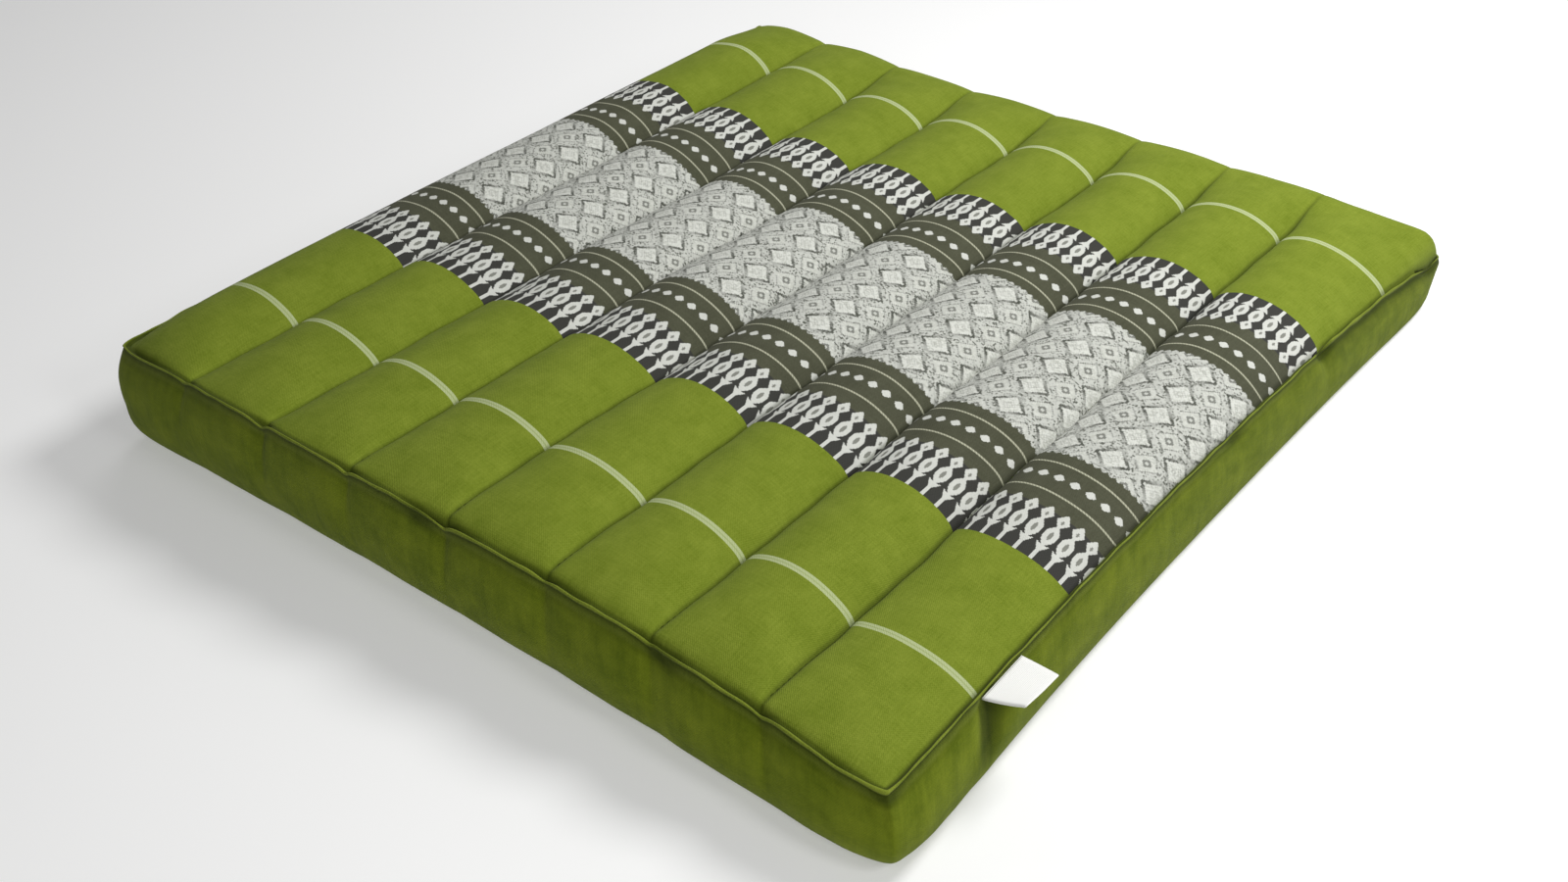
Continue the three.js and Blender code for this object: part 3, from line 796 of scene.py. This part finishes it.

    # painted shade per point: in the sewn lines, along the top stitch line, down the welt's rings, in the
    # tucks and crevices and under the label
    shade = np.zeros(len(points), dtype=np.float32)
    for k in seamColumns:
        fromEnd = (1 - np.abs(b)) * pad["halfLength"]
        edge = seamShade["fieldEdge"]
        inField = ease((weave["fieldHalf"] + edge - np.abs(along[:, k])) / (2 * edge))
        atEnds = np.where(b < 0, seamShade["front"], seamShade["back"])
        sewn = atEnds + (1 - atEnds) * ease(fromEnd / seamShade["length"])
        shade[np.arange(rows) * columns + k] = sewn * (1 - seamShade["fieldLess"] * inField)
    shade[ringOf[0]] = seamShade["topLine"]
    # painted shade under the welt at the right-hand corners and in the crevice along the back of the right
    # side
    underCorner = seamShade["corner"] * np.abs(edgeA * edgeB) ** seamShade["cornerFade"] * (edgeA > 0)
    underRight = seamShade["rightBack"] * thicker * onRight
    # painted shadow of the label, in the dent below it
    for ring, dent in zip(ringOf[1:], dents):
        shade[ring] = labelTuck["shade"] * dent
    for number, (ring, amount) in enumerate(zip(ringOf[1:], ringShade)):
        below = underCorner + underRight if number >= boxingStart else 0.0
        tucked = seamShade["tuck"] * drop if number <= boxingStart + 1 else 0.0
        shade[ring] = np.maximum(shade[ring], np.minimum(amount * (1 + below) + tucked, 1))
    mesh.attributes.new("sewnShade", "FLOAT", "POINT").data.foreach_set("value", shade)
    mesh.update()

    cushion = bpy.data.objects.new("cushionPad", mesh)
    bpy.context.scene.collection.objects.link(cushion)
    rounding = cushion.modifiers.new("rounding", "SUBSURF")
    rounding.levels = 1
    rounding.render_levels = 1
    print("pad cage:", len(points), "points,", len(faces), "faces")
    first, last = thread["ends"]
    stitched = (b > first) & (b < last)
    return cushion, [top[stitched, k] for k in seamColumns]


# Thread in the channel seams: one short bar for every stitch, its ends sunk in the cloth

thread = {
    "ends": (-0.985, 0.8),                   # it sinks out of sight before the back welt
    "pitch": 3.6,
    "length": 3.0,
    "radius": 0.32,
    "lift": 0.25,                            # of a stitch's middle above the bottom of the groove
    "sink": 0.35,
    "sides": 5,
    "rings": 5,
    "twist": 900.0,
    # thread colours far darker than the cloth: painted shade of the groove the stitches lie in
    "dark": (0.030, 0.042, 0.004, 1),
    "light": (0.070, 0.092, 0.010, 1),
}


def threadFinish():
    material, tree, shader = newMaterial("seamThread")
    place = tree.nodes.new("ShaderNodeTexCoord").outputs["Object"]
    twist = grain(tree, place, thread["twist"])
    tree.links.new(layer(tree, thread["dark"], thread["light"], twist), shader.inputs["Base Color"])
    shader.inputs["Roughness"].default_value = cloth["roughness"]
    shader.inputs["Specular IOR Level"].default_value = cloth["gloss"]
    return material


def makeStitches(lines):
    sides, rings = thread["sides"], thread["rings"]
    along = np.linspace(0, 1, rings)
    angles = 2 * np.pi * np.arange(sides) / sides
    points, faces = [], []
    for line in lines:
        run = np.concatenate([[0], np.cumsum(np.linalg.norm(np.diff(line, axis=0), axis=1))])
        for k in range(int(run[-1] / thread["pitch"])):
            first = len(points)
            for share in along:
                place = k * thread["pitch"] + share * thread["length"]
                x, y, z = [np.interp(place, run, line[:, axis]) for axis in range(3)]
                z += (thread["lift"] + thread["sink"]) * math.sin(math.pi * share) - thread["sink"]
                for angle in angles:
                    across, up = thread["radius"] * math.cos(angle), thread["radius"] * math.sin(angle)
                    points.append((x + across, y, z + up))
            for ring in range(rings - 1):
                for side in range(sides):
                    a, b = first + ring * sides + side, first + ring * sides + (side + 1) % sides
                    faces.append((a, a + sides, b + sides, b))
            faces.append([first + side for side in range(sides)])
            faces.append([first + (rings - 1) * sides + side for side in reversed(range(sides))])
    mesh = bpy.data.meshes.new("seamThread")
    mesh.from_pydata([tuple(c * mm for c in p) for p in points], [], faces)
    mesh.polygons.foreach_set("use_smooth", [True] * len(faces))
    mesh.materials.append(threadFinish())
    stitches = bpy.data.objects.new("seamThread", mesh)
    bpy.context.scene.collection.objects.link(stitches)
    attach(stitches, "root")
    print("stitches:", len(faces), "faces")


# Cover cloth: plain-woven leaf green, with a woven field and two bands across the middle

cloth = {
    "deep": (0.132, 0.182, 0.0115, 1),
    "pale": (0.222, 0.276, 0.031, 1),
    # the boxing is the same cloth as the top; these darker colours are painted shade on its sides
    "shadedBoxingDeep": (0.084, 0.119, 0.0042, 1),
    "shadedBoxingPale": (0.172, 0.214, 0.013, 1),
    "wornPale": (0.235, 0.285, 0.040, 1),    # rubbed edge of the welt
    # painted shade: the cloth colour is multiplied by this in the sewn lines, tucks, crevices and under the
    # label
    "paintedShadeDark": (0.24, 0.26, 0.20, 1),       # how much of its colour the cloth keeps in a sewn line
    "thread": 0.55,                          # plain weave, mm a thread
    "weaveDepth": 0.00009,                   # metres
    "weaveStrength": 0.6,
    "roughness": 0.9,
    "gloss": 0.08,
    "sheen": 0.03,
    "sheenRough": 0.5,
    "slub": (1.5, 0.10),                     # slubs to a mm, across a thread and along it
    "fleck": 0.9,
    "cloud": 0.075,
    "streak": (0.16, 0.03),                  # streaks and blotches of the boxing
    "blotch": (0.05, 0.07),
    "boxingHeather": 0.6,
    "weltDepth": (-9.5, -7.5),               # the cloth over this depth goes from boxing to welt
}

weave = {
    "repeatAcross": 24.5,
    "repeatAlong": 20.0,
    "fieldPhase": 5.7,                       # shifts the field's and the trees' repeats across the cloth
    "treePhase": 11.0,
    "cells": (30, 24),                       # woven cells in a repeat, across and along
    "fieldHalf": 50.3,
    "bandEnd": 87.5,
    "treeEnd": 116.4,
    "lines": (57.8, 77.8),
    "lineHalf": 0.55,
    "dashAt": 67.3,
    "dashHalf": (2.7, 2.45),
    "dashRound": 1.3,
    "teeth": (10, 0.8),                      # cells in a column and depth of the field's toothed edge
    "stripeAt": 187.5,
    "stripeHalf": 1.7,
    "twill": 4.2,                            # slanting threads of the stripe and of the fine lines
    "twist": 3.9,
    "raised": 1.5,                           # how far the white thread stands above the plain weave
    "white": (0.63, 0.64, 0.59, 1),
    "pale": (0.53, 0.54, 0.495, 1),
    "light": (0.45, 0.46, 0.41, 1),
    "stipple": (0.22, 0.225, 0.195, 1),
    "speck": (0.10, 0.105, 0.085, 1),
    "outline": (0.062, 0.066, 0.052, 1),
    "band": (0.088, 0.091, 0.058, 1),
    "bandDeep": (0.060, 0.062, 0.038, 1),
    "charcoal": (0.045, 0.045, 0.040, 1),
    "cream": (0.50, 0.50, 0.37, 1),
    "stripe": (0.46, 0.52, 0.28, 1),
}

# One little tree on the charcoal band, in mm from the pattern's middle line and from the tree's axis
sprig = {
    "columns": 3,                            # trees to a repeat
    "step": 0.5,
    "bud": (89.6, 3.25, 5.2),                # middle, half width, half length
    "budHole": (90.2, 0.75, 1.2),
    "leaf": (100.2, 3.35, 6.9),
    "leafRound": 2.1,
    "slit": (100.2, 0.95, 3.0),
    "wingTip": (105.8, 3.3),                 # where the two wings start and how far they reach
    "wingTop": 0.4,                          # slopes of their upper and lower edges
    "wingUnder": 2.0,
    "stemHalf": 0.85,
    "stemStart": 90.0,
    "holeRound": 1.5,
    "cells": 18,                             # woven cells across a column
}


def clothPlace(tree):
    node = tree.nodes.new("ShaderNodeUVMap")
    node.uv_map = "clothPlan"
    split = tree.nodes.new("ShaderNodeSeparateXYZ")
    tree.links.new(node.outputs[0], split.inputs[0])
    across = calc(tree, "MULTIPLY", split.outputs[0], 1 / mm)
    along = calc(tree, "MULTIPLY", split.outputs[1], 1 / mm)
    return across, along


def stretched(tree, across, along, scaleX, scaleY, shift):
    x = calc(tree, "MULTIPLY", across, scaleX)
    y = calc(tree, "MULTIPLY", along, scaleY)
    return joined(tree, x, y, shift)


def heather(tree, across, along):
    # slubs along both thread directions and soft cloudy patches, from 0 to 1
    thin, long = cloth["slub"]
    warp = grain(tree, stretched(tree, across, along, thin, long, 0), 1.0)
    weft = grain(tree, stretched(tree, across, along, long, thin, 4), 1.0)
    fleck = grain(tree, stretched(tree, across, along, cloth["fleck"], cloth["fleck"], 6), 1.0)
    clouds = grain(tree, stretched(tree, across, along, 1, 1, 8), cloth["cloud"], 3.0, 0.6)
    threads = calc(tree, "ADD", calc(tree, "ADD", warp, weft), fleck)
    fine = spread(tree, threads, 1.1, 1.9, -0.3, 0.3)
    tone = calc(tree, "ADD", fine, spread(tree, clouds, 0.3, 0.7, 0.3, 0.7))
    return spread(tree, tone, 0, 1, 0, 1)


def weaveHeight(tree, across, along):
    pitch = math.pi / cloth["thread"]
    over = calc(tree, "SINE", calc(tree, "MULTIPLY", across, pitch))
    under = calc(tree, "SINE", calc(tree, "MULTIPLY", along, pitch))
    return calc(tree, "MULTIPLY", over, under)


def shadedSeams(tree, colour):
    # painted shade in the sewn lines, tucks and crevices and under the label
    place = tree.nodes.new("ShaderNodeAttribute")
    place.attribute_name = "sewnShade"
    darker = tree.nodes.new("ShaderNodeMix")
    darker.data_type = "RGBA"
    darker.blend_type = "MULTIPLY"
    tree.links.new(place.outputs["Fac"], darker.inputs["Factor"])
    feed(tree, darker.inputs["A"], colour)
    feed(tree, darker.inputs["B"], cloth["paintedShadeDark"])
    return darker.outputs["Result"]


def finishCloth(tree, shader, colour, height):
    tree.links.new(colour, shader.inputs["Base Color"])
    shader.inputs["Roughness"].default_value = cloth["roughness"]
    shader.inputs["Specular IOR Level"].default_value = cloth["gloss"]
    shader.inputs["Sheen Weight"].default_value = cloth["sheen"]
    shader.inputs["Sheen Roughness"].default_value = cloth["sheenRough"]
    bump = tree.nodes.new("ShaderNodeBump")
    bump.inputs["Strength"].default_value = cloth["weaveStrength"]
    bump.inputs["Distance"].default_value = cloth["weaveDepth"]
    tree.links.new(height, bump.inputs["Height"])
    tree.links.new(bump.outputs[0], shader.inputs["Normal"])


def boxingCloth():
    # the same green, painted darker as shade on the sides, more mottled and streaked down the boxing, and
    # rubbed pale on the welt's edge
    material, tree, shader = newMaterial("boxingCloth")
    across, along = clothPlace(tree)
    fibres = heather(tree, across, along)
    streaks = grain(tree, stretched(tree, across, along, *cloth["streak"], 2), 1.0, 3.0, 0.6)
    blotches = grain(tree, stretched(tree, across, along, *cloth["blotch"], 5), 1.0, 3.0, 0.6)
    streaky = spread(tree, streaks, 0.3, 0.7, -0.1, 0.3)
    mottle = calc(tree, "ADD", streaky, spread(tree, blotches, 0.35, 0.65, -0.1, 0.35))
    tone = calc(tree, "ADD", calc(tree, "MULTIPLY", fibres, cloth["boxingHeather"]), mottle)
    colour = layer(tree, cloth["shadedBoxingDeep"], cloth["shadedBoxingPale"], tone)
    onWelt = spread(tree, along, *cloth["weltDepth"], 0, 1)
    rubbed = calc(tree, "MULTIPLY", onWelt, spread(tree, fibres, 0.2, 1, 0.35, 0.8))
    colour = layer(tree, colour, cloth["wornPale"], rubbed)
    finishCloth(tree, shader, shadedSeams(tree, colour), weaveHeight(tree, across, along))
    return material


def diamond(tree, x, y, halfX, halfY):
    first = calc(tree, "DIVIDE", x, halfX)
    second = calc(tree, "DIVIDE", y, halfY)
    return calc(tree, "ADD", first, second)


def rounded(tree, x, y, halfX, halfY, power):
    first = calc(tree, "POWER", calc(tree, "DIVIDE", x, halfX), power)
    second = calc(tree, "POWER", calc(tree, "DIVIDE", y, halfY), power)
    return calc(tree, "LESS_THAN", calc(tree, "ADD", first, second), 1)


def snapped(tree, value, cell):
    # middle of the woven cell that a point lies in
    count = calc(tree, "FLOOR", calc(tree, "DIVIDE", value, cell))
    return calc(tree, "MULTIPLY", calc(tree, "ADD", count, 0.5), cell)


def checker(tree, across, along, cellX, cellY):
    first = calc(tree, "FLOOR", calc(tree, "DIVIDE", across, cellX))
    second = calc(tree, "FLOOR", calc(tree, "DIVIDE", along, cellY))
    return calc(tree, "MODULO", calc(tree, "ABSOLUTE", calc(tree, "ADD", first, second)), 2)


def scattered(tree, across, along, cellX, cellY):
    # a different value from 0 to 1 in every woven cell
    node = tree.nodes.new("ShaderNodeTexWhiteNoise")
    node.noise_dimensions = "2D"
    first = calc(tree, "FLOOR", calc(tree, "DIVIDE", across, cellX))
    second = calc(tree, "FLOOR", calc(tree, "DIVIDE", along, cellY))
    tree.links.new(joined(tree, first, second, 0), node.inputs["Vector"])
    return node.outputs["Value"]


def away(tree, value, middle):
    return calc(tree, "ABSOLUTE", calc(tree, "SUBTRACT", value, middle))


# The field's motif: half widths and half lengths in mm, and shares of them from the middle outwards
motif = {
    "singles": 0.62,                         # how much single cells and short floats vary the white thread
    "floats": 0.38,
    "floatCells": 2.5,
    "specks": (0.12, 0.45),
    "halo": (6.0, 6.6),                      # pale patch round an eye, in a dotted ring
    "haloRing": (0.95, 1.2),
    "haloDots": 0.45,
    "lattice": (0.94, 1.06),                 # faint lines between the diamonds
    "latticeEnd": 7.0,
    "latticeDark": (0.5, 0.1),
    "stroke": (9.4, 8.9),                    # dark strokes that hold a diamond at its sides
    "strokeRing": (0.79, 1.02),
    "strokeEnds": (1.2, 6.0),
    "strokeDark": (1.0, 0.35),
    "white": (6.8, 6.7),
    "core": (4.4, 4.6),
    "coreRing": (0.3, 0.8),
    "coreDots": 0.35,
    "eye": (2.7, 3.0),
    "eyeRing": (0.45, 1.05),
    "eyeDark": 0.7,
}


def fieldColour(tree, across, along):
    # rows of white diamonds held between dark strokes, small eyes between them, on a speckled ground
    halfX, halfY = weave["repeatAcross"] / 2, weave["repeatAlong"] / 2
    cellX = weave["repeatAcross"] / weave["cells"][0]
    cellY = weave["repeatAlong"] / weave["cells"][1]
    x = calc(tree, "PINGPONG", snapped(tree, across, cellX), halfX)
    y = calc(tree, "PINGPONG", snapped(tree, along, cellY), halfY)
    eyeX = calc(tree, "SUBTRACT", halfX, x)
    eyeY = calc(tree, "SUBTRACT", halfY, y)
    spots = checker(tree, across, along, cellX, cellY)
    # how far the white thread shows, by single cells and by short floats over two or three
    single = scattered(tree, across, along, cellX, cellY)
    floats = scattered(tree, across, along, cellX * motif["floatCells"], cellY)
    lifted = calc(tree, "ADD", both(tree, single, motif["singles"]), both(tree, floats, motif["floats"]))

    colour = layer(tree, weave["speck"], weave["pale"], spread(tree, lifted, *motif["specks"], 0, 1))
    halo = diamond(tree, eyeX, eyeY, *motif["halo"])
    inHalo = calc(tree, "LESS_THAN", halo, motif["haloRing"][0])
    colour = layer(tree, colour, layer(tree, weave["light"], weave["white"], lifted), inHalo)
    dots = both(tree, within(tree, halo, *motif["haloRing"]), spots)
    colour = layer(tree, colour, weave["outline"], both(tree, dots, motif["haloDots"]))

    # a faint lattice, then the strokes, heavy at a diamond's side corners and fading above and below
    lattice = within(tree, diamond(tree, x, y, halfX, halfY), *motif["lattice"])
    fading = spread(tree, x, 0, motif["latticeEnd"], *motif["latticeDark"])
    faint = both(tree, fading, spread(tree, lifted, 0.2, 0.8, 1, 0.4))
    colour = layer(tree, colour, weave["outline"], both(tree, lattice, faint))
    stroke = within(tree, diamond(tree, x, y, *motif["stroke"]), *motif["strokeRing"])
    fading = spread(tree, y, *motif["strokeEnds"], *motif["strokeDark"])
    heavy = both(tree, fading, spread(tree, lifted, 0.3, 0.9, 1, 0.75))
    colour = layer(tree, colour, weave["outline"], both(tree, stroke, heavy))

    white = calc(tree, "LESS_THAN", diamond(tree, x, y, *motif["white"]), 1)
    threads = layer(tree, weave["light"], weave["white"], spread(tree, lifted, 0.15, 0.6, 0, 1))
    colour = layer(tree, colour, threads, white)
    core = both(tree, within(tree, diamond(tree, x, y, *motif["core"]), *motif["coreRing"]), spots)
    colour = layer(tree, colour, weave["stipple"], both(tree, core, motif["coreDots"]))
    eye = diamond(tree, eyeX, eyeY, *motif["eye"])
    ring = both(tree, within(tree, eye, *motif["eyeRing"]), motif["eyeDark"])
    colour = layer(tree, colour, weave["outline"], ring)
    return layer(tree, colour, weave["pale"], calc(tree, "LESS_THAN", eye, motif["eyeRing"][0]))


def treeShape(tree, fromAxis, step):
    # white parts and dark holes of the little trees
    middle, halfWide, halfLong = sprig["bud"]
    bud = calc(tree, "LESS_THAN", diamond(tree, fromAxis, away(tree, step, middle), halfWide, halfLong), 1)
    middle, halfWide, halfLong = sprig["leaf"]
    towardsTip = calc(tree, "DIVIDE", away(tree, step, middle), halfLong)
    leafSide = calc(tree, "POWER", towardsTip, sprig["leafRound"])
    leaf = calc(tree, "LESS_THAN", calc(tree, "ADD", calc(tree, "DIVIDE", fromAxis, halfWide), leafSide), 1)
    start, reach = sprig["wingTip"]
    inward = calc(tree, "SUBTRACT", reach, fromAxis)
    depth = calc(tree, "SUBTRACT", step, start)
    wing = both(tree, calc(tree, "GREATER_THAN", depth, calc(tree, "MULTIPLY", inward, sprig["wingTop"])),
                calc(tree, "LESS_THAN", depth, calc(tree, "MULTIPLY", inward, sprig["wingUnder"])))
    stem = both(tree, calc(tree, "LESS_THAN", fromAxis, sprig["stemHalf"]),
                calc(tree, "GREATER_THAN", step, sprig["stemStart"]))
    white = either(tree, either(tree, bud, leaf), either(tree, wing, stem))
    holes = []
    for middle, halfWide, halfLong in (sprig["budHole"], sprig["slit"]):
        fromMiddle = away(tree, step, middle)
        holes.append(rounded(tree, fromAxis, fromMiddle, halfWide, halfLong, sprig["holeRound"]))
    return white, either(tree, *holes)


def patternCloth():
    material, tree, shader = newMaterial("patternCloth")
    across, along = clothPlace(tree)
    shifted = calc(tree, "SUBTRACT", across, weave["treePhase"])
    out = calc(tree, "ABSOLUTE", along)
    tone = heather(tree, across, along)

    colour = layer(tree, cloth["deep"], cloth["pale"], tone)
    fromStripe = away(tree, out, weave["stripeAt"])
    stripe = calc(tree, "LESS_THAN", fromStripe, weave["stripeHalf"])
    twill = calc(tree, "SINE", calc(tree, "MULTIPLY", calc(tree, "ADD", across, along), weave["twill"]))
    ridge = spread(tree, fromStripe, 0.1, 0.5, 0.6, 0.95)
    covered = both(tree, ridge, spread(tree, twill, -1, 1, 0.82, 1))
    colour = layer(tree, colour, weave["stripe"], both(tree, stripe, covered))

    # columns of little trees on charcoal
    column = weave["repeatAcross"] / sprig["columns"]
    fromAxis = calc(tree, "PINGPONG", snapped(tree, shifted, column / sprig["cells"]), column / 2)
    step = snapped(tree, out, sprig["step"])
    woven = calc(tree, "LESS_THAN", out, weave["treeEnd"])
    white, holes = treeShape(tree, fromAxis, step)
    bandTone = layer(tree, weave["bandDeep"], weave["band"], spread(tree, tone, 0.1, 0.9, 0, 1))
    isBand = calc(tree, "LESS_THAN", out, weave["bandEnd"])
    colour = layer(tree, colour, layer(tree, weave["charcoal"], bandTone, isBand), woven)
    raised = both(tree, white, woven)

    # dotted lines and a row of dashes on the plain band
    diagonal = calc(tree, "MULTIPLY", calc(tree, "ADD", across, along), weave["twist"])
    twist = spread(tree, calc(tree, "SINE", diagonal), -1, 1, 0.4, 1)
    for line in weave["lines"]:
        onLine = both(tree, calc(tree, "LESS_THAN", away(tree, out, line), weave["lineHalf"]), twist)
        colour = layer(tree, colour, weave["cream"], onLine)
    fromDash = away(tree, step, weave["dashAt"])
    dash = rounded(tree, fromAxis, fromDash, *weave["dashHalf"], weave["dashRound"])
    raised = either(tree, raised, dash)
    colour = layer(tree, colour, weave["white"], both(tree, raised, spread(tree, tone, 0, 1, 0.86, 1)))
    colour = layer(tree, colour, weave["stipple"], both(tree, holes, woven))

    # the field ends in small teeth
    cells, depth = weave["teeth"]
    tooth = calc(tree, "PINGPONG", snapped(tree, shifted, column / cells), column / 4)
    edge = calc(tree, "SUBTRACT", weave["fieldHalf"] + depth, calc(tree, "MULTIPLY", tooth, depth))
    field = calc(tree, "LESS_THAN", out, edge)
    inField = calc(tree, "SUBTRACT", across, weave["fieldPhase"])
    colour = layer(tree, colour, fieldColour(tree, inField, along), field)

    standing = calc(tree, "MULTIPLY", raised, weave["raised"])
    height = calc(tree, "ADD", weaveHeight(tree, across, along), standing)
    finishCloth(tree, shader, shadedSeams(tree, colour), height)
    return material


# Folded label, bare

label = {
    "middle": -174.0,                        # along the right-hand seam
    "width": 29.0,
    "start": 0.7,
    "reach": 17.0,
    "drop": 1.6,
    "droop": 0.9,
    "curl": -3.2,                            # the near end lifts
    "slant": 4.0,                            # and its edge isn't square to the seam
    "gap": 0.25,                             # between the two folded layers
    "tape": 0.35,
    "ripple": 0.25,
    "rippleTurns": (5, 2),                   # radians along the seam and out from it
    "steps": (14, 12, 6),                    # along the seam, out from it and round the fold
    "colour": (0.90, 0.90, 0.87, 1),
    "shadow": (0.78, 0.78, 0.74, 1),
    "shadowShare": 0.3,
    "ribs": 9.0,
    "grain": 1.2,
    "grainStretch": 3,
    "roughness": 0.6,
}


def labelTape():
    material, tree, shader = newMaterial("labelTape")
    across, along = clothPlace(tree)
    ribs = calc(tree, "SINE", calc(tree, "MULTIPLY", along, label["ribs"]))
    tone = grain(tree, stretched(tree, across, along, 1, label["grainStretch"], 0), label["grain"])
    share = calc(tree, "MULTIPLY", tone, label["shadowShare"])
    colour = layer(tree, label["colour"], label["shadow"], share)
    finishCloth(tree, shader, colour, ribs)
    shader.inputs["Roughness"].default_value = label["roughness"]
    return material


def makeLabel():
    alongSteps, outSteps, turnSteps = label["steps"]
    turnAlong, turnOut = label["rippleTurns"]
    middle = label["gap"] / 2 + label["tape"] / 2
    # section of the tape from the seam out over the fold and back under: distance out and offset
    section = [(label["reach"] * k / outSteps, middle) for k in range(outSteps + 1)]
    for k in range(1, turnSteps):
        angle = math.pi * k / turnSteps
        section.append((label["reach"] + middle * math.sin(angle), middle * math.cos(angle)))
    section += [(label["reach"] * (outSteps - k) / outSteps, -middle) for k in range(outSteps + 1)]
    section = np.array(section)
    tangent = np.gradient(section, axis=0)
    tangent /= np.linalg.norm(tangent, axis=1)[:, None]
    normal = np.stack([-tangent[:, 1], tangent[:, 0]], axis=1)

    points, plans = [], []
    lengths = np.concatenate([[0], np.cumsum(np.linalg.norm(np.diff(section, axis=0), axis=1))])
    for face in (1, -1):
        skin = section + normal * face * label["tape"] / 2
        for j in range(alongSteps + 1):
            y = label["middle"] + label["width"] * (j / alongSteps - 0.5)
            b = y / pad["halfLength"]
            welt = planAt(len(pad["crest"]) - 1, 1.0, b, 0.0, 1.0, 0.0)[0]
            height = weltHeight(1.0, b) - label["drop"]
            for (out, offset), length in zip(skin, lengths):
                share = out / label["reach"]
                droop = (label["droop"] + label["curl"] * (1 - j / alongSteps)) * share ** 2
                ripple = label["ripple"] * math.sin(j / alongSteps * turnAlong + share * turnOut) * share
                skew = label["slant"] * share * (1 - j / alongSteps)
                x = float(welt) + label["start"] + out
                points.append((x, y + skew, float(height) - droop + offset + ripple))
                plans.append((j / alongSteps * label["width"], length))
    wide = len(section)
    layerSize = wide * (alongSteps + 1)
    faces = []
    for j in range(alongSteps):
        for i in range(wide - 1):
            quad = [j * wide + i, j * wide + i + 1, (j + 1) * wide + i + 1, (j + 1) * wide + i]
            faces.append(quad)
            faces.append([layerSize + k for k in reversed(quad)])
    rim = list(range(wide))
    rim += [j * wide + wide - 1 for j in range(1, alongSteps + 1)]
    rim += [alongSteps * wide + i for i in range(wide - 2, -1, -1)]
    rim += [j * wide for j in range(alongSteps - 1, 0, -1)]
    for k, first in enumerate(rim):
        second = rim[(k + 1) % len(rim)]
        faces.append([first, layerSize + first, layerSize + second, second])

    mesh = bpy.data.meshes.new("foldedLabel")
    mesh.from_pydata([tuple(c * mm for c in p) for p in points], [], faces)
    mesh.polygons.foreach_set("use_smooth", [True] * len(faces))
    plan = mesh.uv_layers.new(name="clothPlan")
    corner = np.zeros(len(mesh.loops), dtype=np.int32)
    mesh.loops.foreach_get("vertex_index", corner)
    plan.data.foreach_set("uv", np.array(plans, dtype=np.float32)[corner].ravel() * mm)
    mesh.materials.append(labelTape())
    mesh.validate()
    piece = bpy.data.objects.new("foldedLabel", mesh)
    bpy.context.scene.collection.objects.link(piece)
    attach(piece, "root")
    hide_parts("label")
    print("label sewn in")


makeStudio()
cushion, seamLines = makePad()
cushion.data.materials.append(patternCloth())
cushion.data.materials.append(boxingCloth())
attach(cushion, "root")
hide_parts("cushion")
makeStitches(seamLines)
makeLabel()
